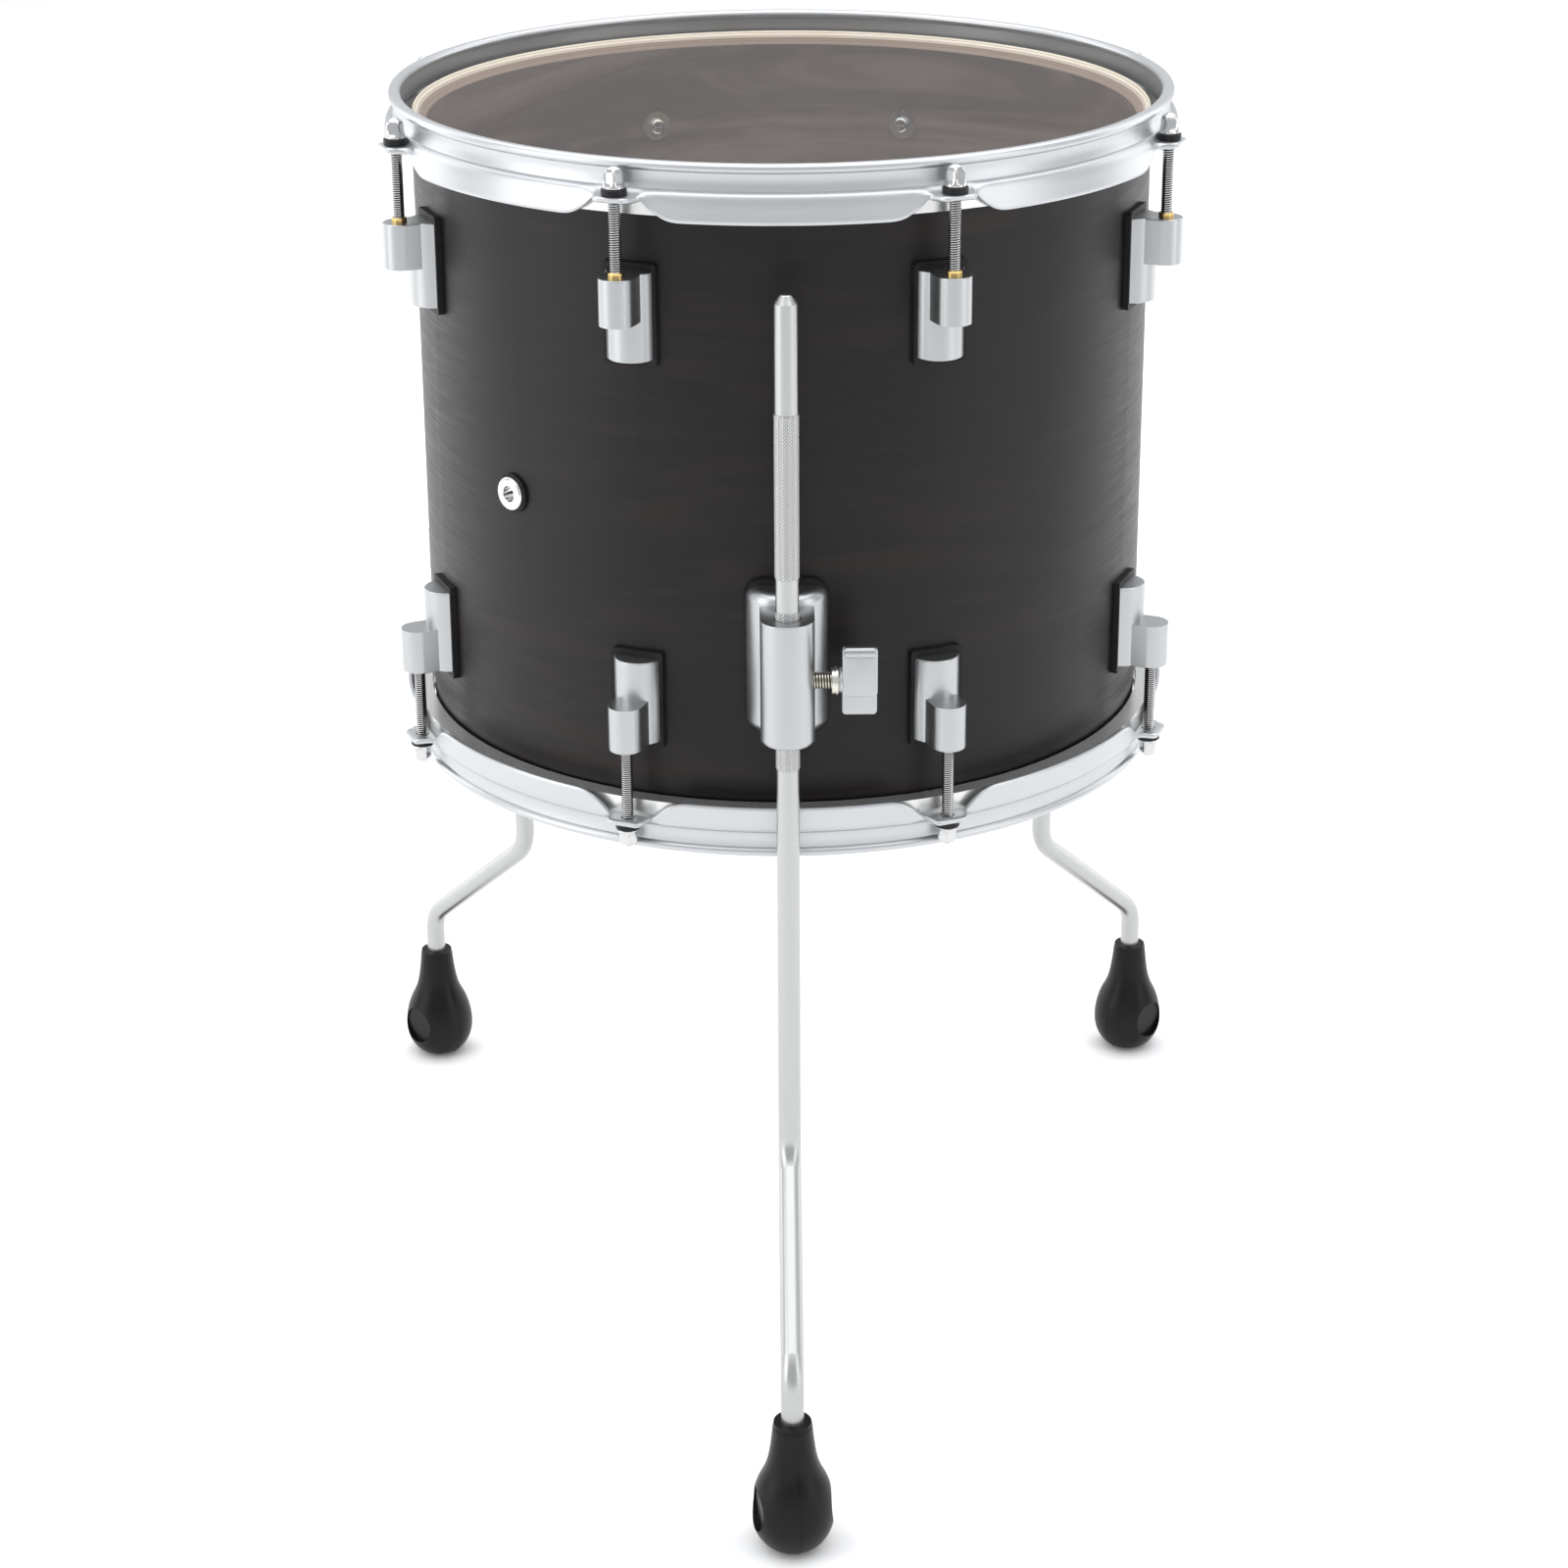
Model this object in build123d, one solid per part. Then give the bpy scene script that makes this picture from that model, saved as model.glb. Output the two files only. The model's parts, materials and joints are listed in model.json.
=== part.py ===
from build123d import *
import math
import os

# A 14 inch by 12 inch floor tom standing on three adjustable legs.
# Millimetres. +Z is up and the floor is Z = 0. The drum's axis is the Z axis.
# The front of the drum, with the front leg, faces -Y.
# Every fitting is drawn at the front and then turned about Z to its own angle,
# so that its own +X is along the shell's surface and -Y points away from the drum.
# An angle is counted from the front, towards +X.

# ---- driving dimensions ----
SHELL_RADIUS = 177.0
SHELL_WALL = 7.0
SHELL_HEIGHT = 304.8
MID_HEIGHT = 462.0            # middle of the shell above the floor
LUG_COUNT = 8                 # lugs and tension rods on each head
FIRST_LUG_ANGLE = 22.5
ROD_CIRCLE = 192.5            # radius of the circle of tension rods
LEG_ANGLES = {"front": 0.0, "right": 135.0, "left": -135.0}
LEG_CIRCLE = 206.6            # radius from the drum's axis to a leg's upper part
LEG_RADIUS = 5.25
KNURL_RADIUS = 5.4            # the knurled bands stand a little proud
KNURL_BANDS = ((-18.3, 57.3), (-109.1, -33.6))
VENT_ANGLE = -45.0
VENT_DROP = 4.5               # vent below the middle of the shell

# ---- shell and heads ----
INNER_RADIUS = SHELL_RADIUS - SHELL_WALL
HALF_SHELL = SHELL_HEIGHT / 2
EDGE_PEAK = 1.0               # the bearing edge's peak, in from the outer face
OUTER_ROUND = 1.5             # how far the peak's outer slope runs down
FILM_T = 0.3
FILM_GAP = 0.2                # between the shell's outer face and the film's collar
FLESH_IN = 178.4              # flesh hoop: channel section that grips the film
FLESH_OUT = 186.2
FLESH_WALL = 1.5
FLESH_TOP = 146.6             # above the shell's middle
FLESH_BOTTOM = 138.0
FLESH_INNER_TOP = 145.4       # the channel's inner lip is lower, so that the film clears it

# ---- hoops, as sizes above the shell's middle ----
LIP_TOP = 162.0
LIP_RADIUS = 184.5
LIP_WIDTH = 5.8
LIP_HEIGHT = 4.4
HOOP_IN = 183.2
HOOP_OUT = 185.5
SHOULDER_TOP = 149.8
SKIRT_RADIUS = 189.8
SKIRT_FLARE = 0.6
SKIRT_BOTTOM = 136.0
SHEET = 2.3                   # thickness of the hoop's sheet
EAR_TOP = 147.3
EAR_REACH = 199.3
EAR_HALF_ROOT = 15.0
EAR_HALF_TIP = 8.5
EAR_HOLE = 3.2
SCALLOP = 42.0                # half the length of the skirt that is cut away at an ear

# ---- lugs, as sizes above the shell's middle ----
LUG_TOP = 111.0
LUG_BOTTOM = 70.7
LUG_BOSS_BOTTOM = 89.5
LUG_ARC_CENTRE = 176.5
LUG_ARC = 11.5
LUG_BOSS = 8.0
LUG_SEAT = 179.3              # flat back of the lug, on the gasket
LUG_EDGE = 0.6
LUG_GASKET_WIDTH = 25.5
LUG_GASKET_TOP = 114.3
LUG_GASKET_BOTTOM = 67.6
INSERT_RADIUS = 3.5
INSERT_BORE = 2.75
INSERT_LENGTH = 19.0
UPPER_INSERT_PROUD = 2.2
LOWER_INSERT_PROUD = 0.9
LUG_SCREW_HEIGHTS = (106.0, 81.5)
LUG_SCREW_RADIUS = 2.0
LUG_SCREW_END = 186.0
LUG_WASHER_RADIUS = 7.5
LUG_WASHER_T = 1.0
LUG_SCREW_HEAD = (3.9, 2.6)   # radius and height

# ---- tension rods ----
ROD_RADIUS = 2.7
ROD_WASHER_RADIUS = 5.75
ROD_WASHER_T = 3.0
ROD_COLLAR_RADIUS = 4.8
ROD_COLLAR_T = 1.6
KEY_SQUARE = 6.3
KEY_HEIGHT = 8.0
KEY_CORNER = 0.8
KEY_DOME = 2.6                # rounding of the square's top
KEY_FLARE = 1.8               # height of the cone between collar and square
ROD_CLEARANCE = 0.3           # between a rod and its washer
ROD_END = 94.0                # lower end of an upper rod, above the shell's middle

# ---- leg brackets, as sizes above the shell's middle ----
BRACKET_TOP = -31.5
BRACKET_BOTTOM = -99.5
BRACKET_SEAT = 180.0
BRACKET_ARC_CENTRE = 175.5
BRACKET_ARC = 19.0
BRACKET_ROUND = 5.0
BOSS_TOP = -37.5
BOSS_BOTTOM = -96.5
BOSS_RADIUS = 12.2
BOSS_ROUND = 2.5
LEG_BORE = 6.0
BRACKET_GASKET_WIDTH = 39.0
BRACKET_GASKET_TOP = -28.7
BRACKET_GASKET_BOTTOM = -102.3
BRACKET_SCREW_HEIGHTS = (-46.0, -85.0)
BRACKET_SCREW_RADIUS = 3.0
BRACKET_SCREW_END = 190.0
BRACKET_WASHER_RADIUS = 8.5
BRACKET_WASHER_T = 1.2
BRACKET_SCREW_HEAD = (5.4, 3.2)

# ---- wing bolts, along +X from the leg's axis ----
WING_HEIGHT = -66.8
BOLT_RADIUS = 4.0
THREAD_CLEARANCE = 0.08
BOLT_TIP = 8.0
LOCK_WASHER_FROM = 19.8
FLAT_WASHER_FROM = 21.6
HUB_FROM = 22.5
LOCK_WASHER_RADIUS = 6.2
LOCK_WASHER_SPLIT = 0.9
LOCK_WASHER_SLANT = 25.0      # degrees that the split leans by
FLAT_WASHER_RADIUS = 6.6
HUB_RADIUS = 5.4
HUB_END_RADIUS = 6.4
WING_FROM = 24.3
WING_TO = 40.0
WING_TALL = 17.3
WING_SHORT = 5.8
WING_NEAR = 1.4               # each wing stands off the bolt's axis by this much
WING_T = 4.4
WING_BEAD = 2.6
WING_CORNER = 1.6
PAD_FRONT = 2.0
PAD_FACE = 5.75               # radius of the clamp pad's hollow face
PAD_BACK = 7.9

# ---- legs and feet ----
LEG_TOP = 110.4               # above the shell's middle
BEND_1 = -304.3
BEND_2 = -373.5
LEG_STEP = 83.9               # how far the lower part stands out from the upper part
BEND_RADIUS = 20.0
LEG_IN_FOOT = 22.0            # height of the leg's lower end above the floor
TIP_CONE = 4.0
TIP_CUT = 2.7
TIP_ROUND = 1.2
FOOT_HEIGHT = 65.5
FOOT_BORE = 5.3
FOOT_RECESS_RADIUS = 10.5
FOOT_RECESS_HEIGHT = 21.0
FOOT_RECESS_FLOOR = 15.3
FOOT_TURN = {"front": 12.0, "right": 0.0, "left": 0.0}
FOOT_PROFILE = [(12.4, 2.2), (17.6, 9.0), (19.4, 19.5), (15.9, 35.0), (11.3, 47.0), (9.2, 62.0)]
FOOT_FLAT = 6.5
FOOT_RIM = 8.7

# ---- vent ----
VENT_BORE = 3.65
VENT_TUBE = 4.5
VENT_FLANGE = 8.0
VENT_FLANGE_T = 2.2
VENT_FLANGE_ROUND = 1.4
VENT_MOUTH_ROUND = 0.5
VENT_GASKET = 9.3
VENT_GASKET_T = 1.3
VENT_INSIDE = 2.2             # how far the tube stands out inside the shell
VENT_NUT_RADIUS = 7.5
VENT_NUT_T = 1.8

LUG_ANGLES = [FIRST_LUG_ANGLE + i * 360 / LUG_COUNT for i in range(LUG_COUNT)]


def radial(radius, near, far, x=0.0, z=0.0):
    """Cylinder that points away from the drum's axis, from one distance to another."""
    return Pos(x, -(near + far) / 2, z) * Rot(90, 0, 0) * Cylinder(radius, far - near)


def sideways(radius, x_from, x_to, y, z):
    """Cylinder along the shell's surface, at the front."""
    return Pos((x_from + x_to) / 2, y, z) * Rot(0, 90, 0) * Cylinder(radius, x_to - x_from)


def upright(radius, low, high, x=0.0, y=0.0):
    return Pos(x, y, (low + high) / 2) * Cylinder(radius, high - low)


def block(x_range, y_range, z_range):
    size = [b - a for a, b in (x_range, y_range, z_range)]
    middle = [(a + b) / 2 for a, b in (x_range, y_range, z_range)]
    return Pos(*middle) * Box(*size)


def turned(points):
    """Solid of revolution about Z from an outline of (radius, height) points."""
    outline = Polyline(*[(r, 0, z) for r, z in points], close=True)
    return revolve(make_face(outline), Axis.Z)


def around(shape, angles):
    return [Rot(0, 0, a) * shape for a in angles]


def flipped(shape):
    """The same fitting at the lower head: a mirror image in the shell's middle plane."""
    return mirror(shape, Plane.XY)


def save(node, shapes):
    solids = []
    for shape in shapes:
        solids += (Pos(0, 0, MID_HEIGHT) * shape).solids()
    model = solids[0] if len(solids) == 1 else Compound(children=solids)
    model.label = node
    export_step(model, os.path.join("parts", node + ".step"))


# From here to the end, heights are above the middle of the shell.

def make_shell():
    top = HALF_SHELL
    bevel = SHELL_WALL - EDGE_PEAK
    half = [
        (SHELL_RADIUS, top - OUTER_ROUND),
        (SHELL_RADIUS - EDGE_PEAK, top),
        (INNER_RADIUS, top - bevel),
    ]
    lower = [(r, -z) for r, z in reversed(half)]
    shell = turned(half + lower)
    holes = []
    for z in LUG_SCREW_HEIGHTS:
        for height in (z, -z):
            hole = radial(LUG_SCREW_RADIUS, INNER_RADIUS - 2, SHELL_RADIUS + 2, z=height)
            holes += around(hole, LUG_ANGLES)
    for z in BRACKET_SCREW_HEIGHTS:
        hole = radial(BRACKET_SCREW_RADIUS, INNER_RADIUS - 2, SHELL_RADIUS + 2, z=z)
        holes += around(hole, LEG_ANGLES.values())
    vent = radial(VENT_TUBE, INNER_RADIUS - 2, SHELL_RADIUS + 2, z=-VENT_DROP)
    holes += around(vent, [VENT_ANGLE])
    return shell - holes


def make_film():
    """Drum head: a flat film with a collar that runs down into the flesh hoop."""
    top = HALF_SHELL + FILM_T
    collar = SHELL_RADIUS + FILM_GAP
    channel = FLESH_IN + FLESH_WALL + 0.6
    foot = FLESH_BOTTOM + FLESH_WALL + 1.0
    over_lip = FLESH_INNER_TOP + 1.2
    return turned([
        (0, HALF_SHELL),
        (SHELL_RADIUS - EDGE_PEAK + FILM_GAP, HALF_SHELL),
        (collar, HALF_SHELL - OUTER_ROUND),
        (channel, over_lip),
        (channel, foot),
        (channel + FILM_T, foot),
        (channel + FILM_T, over_lip + 0.2),
        (collar + FILM_T, HALF_SHELL - OUTER_ROUND + 0.2),
        (SHELL_RADIUS - EDGE_PEAK + FILM_GAP + FILM_T, top),
        (0, top),
    ])


def make_flesh_hoop():
    return turned([
        (FLESH_IN, FLESH_BOTTOM),
        (FLESH_OUT, FLESH_BOTTOM),
        (FLESH_OUT, FLESH_TOP),
        (FLESH_OUT - FLESH_WALL, FLESH_TOP),
        (FLESH_OUT - FLESH_WALL, FLESH_BOTTOM + FLESH_WALL),
        (FLESH_IN + FLESH_WALL, FLESH_BOTTOM + FLESH_WALL),
        (FLESH_IN + FLESH_WALL, FLESH_INNER_TOP),
        (FLESH_IN, FLESH_INNER_TOP),
    ])


def hoop_ring():
    """Pressed hoop: rolled lip, wall, sloping shoulder and skirt."""
    lip_z = LIP_TOP - LIP_HEIGHT / 2
    lip = Pos(LIP_RADIUS, lip_z) * RectangleRounded(LIP_WIDTH, LIP_HEIGHT, LIP_HEIGHT / 2 - 0.1)
    wall_z = (SHOULDER_TOP - SHEET + lip_z) / 2
    wall = Pos((HOOP_IN + HOOP_OUT) / 2, wall_z) * Rectangle(SHEET, lip_z - SHOULDER_TOP + SHEET)
    skirt_out = SKIRT_RADIUS + SKIRT_FLARE
    skirt = make_face(Polyline(
        (HOOP_IN, SHOULDER_TOP - SHEET + 0.1),
        (HOOP_OUT - 0.1, SHOULDER_TOP - SHEET - 0.2),
        (SKIRT_RADIUS - SHEET - 0.6, SHOULDER_TOP - SHEET - 1.3),
        (SKIRT_RADIUS - SHEET + 0.1, SHOULDER_TOP - SHEET - 2.3),
        (skirt_out - SHEET, SKIRT_BOTTOM),
        (skirt_out, SKIRT_BOTTOM),
        (SKIRT_RADIUS, SHOULDER_TOP - 4.3),
        (SKIRT_RADIUS - 0.8, SHOULDER_TOP - 2.2),
        (SKIRT_RADIUS - 2.6, SHOULDER_TOP - 0.6),
        (HOOP_OUT, SHOULDER_TOP),
        (HOOP_OUT - 0.5, SHOULDER_TOP + 1.0),
        (HOOP_IN, SHOULDER_TOP + 1.0),
        close=True,
    ))
    section = lip + wall + skirt
    return revolve(Plane.XZ * section, Axis.Z)


def ear_scallop():
    """What is cut from the skirt around one ear: its lower edge rises in a long curve."""
    under = EAR_TOP - SHEET - 0.1
    low = SKIRT_BOTTOM - 4.0
    rise = [(EAR_HALF_TIP + 0.5, under), (14.0, under - 2.6), (24.0, under - 6.6), (SCALLOP, SKIRT_BOTTOM)]
    right = Spline(rise, tangents=((1, 0), (1, 0)))
    left = mirror(right, Plane.YZ)
    flat = Line(left @ 0, right @ 0)
    floor = Polyline(right @ 1, (SCALLOP, low), (-SCALLOP, low), left @ 1)
    face = Plane.XZ * make_face([*right.edges(), *left.edges(), *flat.edges(), *floor.edges()])
    near = HOOP_IN - 12.0
    return Pos(0, -near, 0) * extrude(face, amount=EAR_REACH - near)


def ear_plate():
    root = FLESH_OUT + 0.4
    plan = make_face(Polyline(
        (-EAR_HALF_ROOT, -root),
        (-EAR_HALF_TIP - 2.0, -SKIRT_RADIUS - 0.6),
        (-EAR_HALF_TIP, -EAR_REACH),
        (EAR_HALF_TIP, -EAR_REACH),
        (EAR_HALF_TIP + 2.0, -SKIRT_RADIUS - 0.6),
        (EAR_HALF_ROOT, -root),
        close=True,
    ))
    tips = plan.vertices().filter_by(lambda v: v.Y < -EAR_REACH + 0.1)
    plan = fillet(tips, 4.0)
    return Pos(0, 0, EAR_TOP - SHEET) * extrude(plan, amount=SHEET)


def make_hoop():
    hoop = hoop_ring() - around(ear_scallop(), LUG_ANGLES)
    hoop += around(ear_plate(), LUG_ANGLES)
    seat = upright(ROD_WASHER_RADIUS + 0.6, EAR_TOP, EAR_TOP + 8, y=-ROD_CIRCLE)
    hole = upright(EAR_HOLE, EAR_TOP - 5, EAR_TOP + 5, y=-ROD_CIRCLE)
    return hoop - around(seat, LUG_ANGLES) - around(hole, LUG_ANGLES)


def make_lug():
    """Upper lug: a half-round body on its seat, with a boss that reaches out to the rod."""
    body = Pos(0, -LUG_ARC_CENTRE) * Circle(LUG_ARC)
    boss = Pos(0, -ROD_CIRCLE) * Circle(LUG_BOSS)
    neck = Pos(0, -(ROD_CIRCLE + LUG_SEAT) / 2) * Rectangle(2 * LUG_BOSS, ROD_CIRCLE - LUG_SEAT)
    behind = Pos(0, -LUG_SEAT + 50) * Rectangle(100, 100)
    lug = extrude(Pos(0, 0, LUG_BOTTOM) * (body - behind), amount=LUG_TOP - LUG_BOTTOM)
    nose = extrude(Pos(0, 0, LUG_BOSS_BOTTOM) * (boss + neck), amount=LUG_TOP - LUG_BOSS_BOTTOM)
    lug = lug + nose
    rims = lug.edges().filter_by(lambda e: e.center().Y < -LUG_SEAT - 1 and is_level(e))
    lug = fillet(rims.filter_by(lambda e: e.center().Z < LUG_BOTTOM + 1), LUG_EDGE)
    rims = lug.edges().filter_by(lambda e: is_level(e) and e.center().Z > LUG_TOP - 1)
    lug = fillet(rims.filter_by(lambda e: e.center().Y < -LUG_SEAT - 0.5), LUG_EDGE)
    lug -= upright(INSERT_RADIUS, LUG_TOP - INSERT_LENGTH, LUG_TOP + 1, y=-ROD_CIRCLE)
    for z in LUG_SCREW_HEIGHTS:
        lug -= radial(LUG_SCREW_RADIUS, LUG_SEAT - 1, LUG_SCREW_END, z=z)
    return lug


def is_level(edge):
    box = edge.bounding_box()
    return box.size.Z < 0.01


def seat_pad(width, low, high, front, corner):
    """Rubber pad with a flat front, whose back follows the shell."""
    plan = Plane.XZ * Pos(0, (low + high) / 2) * RectangleRounded(width, high - low, corner)
    pad = extrude(Pos(0, -(SHELL_RADIUS - 8), 0) * plan, amount=front - SHELL_RADIUS + 8)
    return pad - upright(SHELL_RADIUS, low - 5, high + 5)


def make_lug_gasket():
    pad = seat_pad(LUG_GASKET_WIDTH, LUG_GASKET_BOTTOM, LUG_GASKET_TOP, LUG_SEAT, 1.5)
    for z in LUG_SCREW_HEIGHTS:
        pad -= radial(LUG_SCREW_RADIUS, SHELL_RADIUS - 3, LUG_SEAT + 1, z=z)
    return pad


def make_insert(proud):
    """Brass nut in the lug that the tension rod screws into."""
    low = LUG_TOP - INSERT_LENGTH
    insert = upright(INSERT_RADIUS, low, LUG_TOP + proud, y=-ROD_CIRCLE)
    insert = chamfer(insert.edges().group_by(Axis.Z)[-1], 0.3)
    return insert - upright(INSERT_BORE, low - 1, LUG_TOP + proud + 1, y=-ROD_CIRCLE)


def make_screw(radius, end, head_radius, head_height, seat, z):
    """Round-headed screw from inside the shell, with a cross slot in its head."""
    shank = radial(radius, seat - 0.5, end, z=z)
    head = radial(head_radius, seat - head_height, seat, z=z)
    head = fillet(head.edges().sort_by(Axis.Y)[-1], head_height * 0.45)
    screw = shank + head
    slot = head_radius * 1.1
    width = head_radius * 0.26
    depth = (-(seat - head_height) - 1.2, -(seat - head_height) + 2)
    screw -= block((-slot / 2, slot / 2), depth, (z - width / 2, z + width / 2))
    return screw - block((-width / 2, width / 2), depth, (z - slot / 2, z + slot / 2))


def make_washer(radius, bore, thickness, z):
    """Flat washer against the inside of the shell. Returns it with its inner face's distance."""
    outer_face = math.sqrt(INNER_RADIUS ** 2 - radius ** 2)
    ring = radial(radius, outer_face - thickness, outer_face, z=z)
    return ring - radial(bore, outer_face - thickness - 1, outer_face + 1, z=z), outer_face - thickness


def make_rod():
    """Upper tension rod: threaded shank, round collar and a square end for the drum key."""
    seat = EAR_TOP + ROD_WASHER_T
    rod = upright(ROD_RADIUS, ROD_END, seat + 1)
    collar = upright(ROD_COLLAR_RADIUS, seat, seat + ROD_COLLAR_T)
    cone = Cone(ROD_COLLAR_RADIUS - 0.3, KEY_SQUARE / 2, KEY_FLARE)
    cone = Pos(0, 0, seat + ROD_COLLAR_T + KEY_FLARE / 2) * cone
    key = Pos(0, 0, seat + ROD_COLLAR_T + KEY_HEIGHT / 2) * Box(KEY_SQUARE, KEY_SQUARE, KEY_HEIGHT)
    key = chamfer(key.edges().filter_by(Axis.Z), KEY_CORNER)
    dome = upright(KEY_SQUARE * 0.62, seat - 1, seat + ROD_COLLAR_T + KEY_HEIGHT)
    dome = fillet(dome.edges().sort_by(Axis.Z)[-1], KEY_DOME)
    return Pos(0, -ROD_CIRCLE, 0) * (rod + collar + cone + (key & dome))


def make_rod_washer():
    ring = upright(ROD_WASHER_RADIUS, EAR_TOP, EAR_TOP + ROD_WASHER_T, y=-ROD_CIRCLE)
    ring = fillet(ring.edges(), 0.6)
    bore = ROD_RADIUS + ROD_CLEARANCE
    return ring - upright(bore, EAR_TOP - 1, EAR_TOP + ROD_WASHER_T + 1, y=-ROD_CIRCLE)


def make_bracket():
    """Leg bracket: a half-round body with a long boss that the leg passes through."""
    arc = Pos(0, -BRACKET_ARC_CENTRE) * Circle(BRACKET_ARC)
    behind = Pos(0, -BRACKET_SEAT + 50) * Rectangle(100, 100)
    body = extrude(Pos(0, 0, BRACKET_BOTTOM) * (arc - behind), amount=BRACKET_TOP - BRACKET_BOTTOM)
    rims = body.edges().filter_by(lambda e: is_level(e) and e.center().Y < -BRACKET_SEAT - 2)
    body = fillet(rims, BRACKET_ROUND)
    nose = Pos(0, -LEG_CIRCLE) * Circle(BOSS_RADIUS)
    neck_length = LEG_CIRCLE - BRACKET_SEAT - 2
    neck = Pos(0, -LEG_CIRCLE + neck_length / 2) * Rectangle(2 * BOSS_RADIUS, neck_length)
    boss = extrude(Pos(0, 0, BOSS_BOTTOM) * (nose + neck), amount=BOSS_TOP - BOSS_BOTTOM)
    low_rim = boss.edges().filter_by(lambda e: is_level(e) and e.center().Z < BOSS_BOTTOM + 1)
    boss = fillet(low_rim.filter_by(lambda e: e.center().Y < -BRACKET_SEAT - 3), BOSS_ROUND)
    top_rim = boss.edges().filter_by(lambda e: is_level(e) and e.center().Z > BOSS_TOP - 1)
    boss = fillet(top_rim.filter_by(lambda e: e.center().Y < -BRACKET_SEAT - 3), LUG_EDGE)
    bracket = body + boss
    bracket -= upright(LEG_BORE, BRACKET_BOTTOM - 5, BRACKET_TOP + 5, y=-LEG_CIRCLE)
    bolt_hole = BOLT_RADIUS + THREAD_CLEARANCE
    bracket -= sideways(bolt_hole, 0, BOSS_RADIUS + 3, -LEG_CIRCLE, WING_HEIGHT)
    for z in BRACKET_SCREW_HEIGHTS:
        bracket -= radial(BRACKET_SCREW_RADIUS, BRACKET_SEAT - 1, BRACKET_SCREW_END, z=z)
    return bracket


def make_bracket_gasket():
    pad = seat_pad(BRACKET_GASKET_WIDTH, BRACKET_GASKET_BOTTOM, BRACKET_GASKET_TOP, BRACKET_SEAT, 9.0)
    for z in BRACKET_SCREW_HEIGHTS:
        pad -= radial(BRACKET_SCREW_RADIUS, SHELL_RADIUS - 6, BRACKET_SEAT + 1, z=z)
    return pad


def make_leg():
    """Round bar with a coned top, two knurled bands and two bends that carry its foot outwards."""
    upper = -LEG_CIRCLE
    lower = -LEG_CIRCLE - LEG_STEP
    end = LEG_IN_FOOT - MID_HEIGHT
    start = LEG_TOP - TIP_CONE
    path = FilletPolyline(
        (0, upper, start),
        (0, upper, BEND_1),
        (0, lower, BEND_2),
        (0, lower, end),
        radius=BEND_RADIUS,
    )
    bar = sweep(Plane((0, upper, start), z_dir=(0, 0, -1)) * Circle(LEG_RADIUS), path)
    tip = Cone(LEG_RADIUS, LEG_RADIUS - TIP_CUT, TIP_CONE)
    tip = fillet(tip.edges().sort_by(Axis.Z)[-1], TIP_ROUND)
    bar += Pos(0, upper, start + TIP_CONE / 2) * tip
    for low, high in KNURL_BANDS:
        bar += upright(KNURL_RADIUS, low, high, y=upper)
    return bar


def make_foot(turn):
    """Pear-shaped rubber foot with a round recess on each side."""
    side = Spline([(FOOT_FLAT, 0), *FOOT_PROFILE, (FOOT_RIM, FOOT_HEIGHT)], tangents=((1, 0.12), (-0.1, 1)))
    rest = Polyline(side @ 1, (FOOT_BORE, FOOT_HEIGHT), (0, FOOT_HEIGHT), (0, 0), (FOOT_FLAT, 0))
    outline = Plane.XZ * make_face([*side.edges(), *rest.edges()])
    foot = revolve(outline, Axis.Z)
    foot -= upright(FOOT_BORE, LEG_IN_FOOT - 0.1, FOOT_HEIGHT + 1)
    reach = 30.0
    for side_sign in (1, -1):
        near, far = sorted((side_sign * FOOT_RECESS_FLOOR, side_sign * reach))
        foot -= sideways(FOOT_RECESS_RADIUS, near, far, 0, FOOT_RECESS_HEIGHT)
    return Pos(0, -LEG_CIRCLE - LEG_STEP, -MID_HEIGHT) * Rot(0, 0, turn) * foot


def make_wing_bolt():
    """Clamp screw with two wings that stand off to opposite sides of its axis."""
    bolt = sideways(BOLT_RADIUS, BOLT_TIP, HUB_FROM + 1, 0, 0)
    hub_length = WING_FROM + 2 - HUB_FROM
    hub = Rot(0, 90, 0) * Cone(HUB_RADIUS, HUB_END_RADIUS, hub_length)
    hub = Pos(HUB_FROM + hub_length / 2, 0, 0) * hub
    core = sideways(HUB_RADIUS, WING_FROM, WING_TO - 1.0, 0, 0)
    wing = block((WING_FROM, WING_TO), (-WING_NEAR - WING_T, -WING_NEAR), (-WING_SHORT, WING_TALL))
    wing = fillet(wing.edges().filter_by(Axis.Y), WING_CORNER)
    bead_z = WING_TALL - WING_BEAD
    bead = sideways(WING_BEAD, WING_FROM + 0.8, WING_TO - 0.8, -WING_NEAR - WING_T / 2, bead_z)
    wing = wing + bead
    head = bolt + hub + core + wing + Rot(180, 0, 0) * wing
    return Pos(0, -LEG_CIRCLE, WING_HEIGHT) * head


def make_bolt_washers():
    """Split spring washer and flat washer under the wing bolt's hub."""
    bore = BOLT_RADIUS + THREAD_CLEARANCE
    y, z = -LEG_CIRCLE, WING_HEIGHT
    spring = sideways(LOCK_WASHER_RADIUS, LOCK_WASHER_FROM, FLAT_WASHER_FROM, y, z)
    spring -= sideways(bore, LOCK_WASHER_FROM - 1, FLAT_WASHER_FROM + 1, y, z)
    middle = (LOCK_WASHER_FROM + FLAT_WASHER_FROM) / 2
    split = Rot(0, 0, LOCK_WASHER_SLANT) * Box(LOCK_WASHER_RADIUS, LOCK_WASHER_SPLIT, 8)
    spring -= Pos(middle, y, z + LOCK_WASHER_RADIUS) * split
    flat = sideways(FLAT_WASHER_RADIUS, FLAT_WASHER_FROM, HUB_FROM, y, z)
    flat -= sideways(bore, FLAT_WASHER_FROM - 1, HUB_FROM + 1, y, z)
    return [spring, flat]


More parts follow.
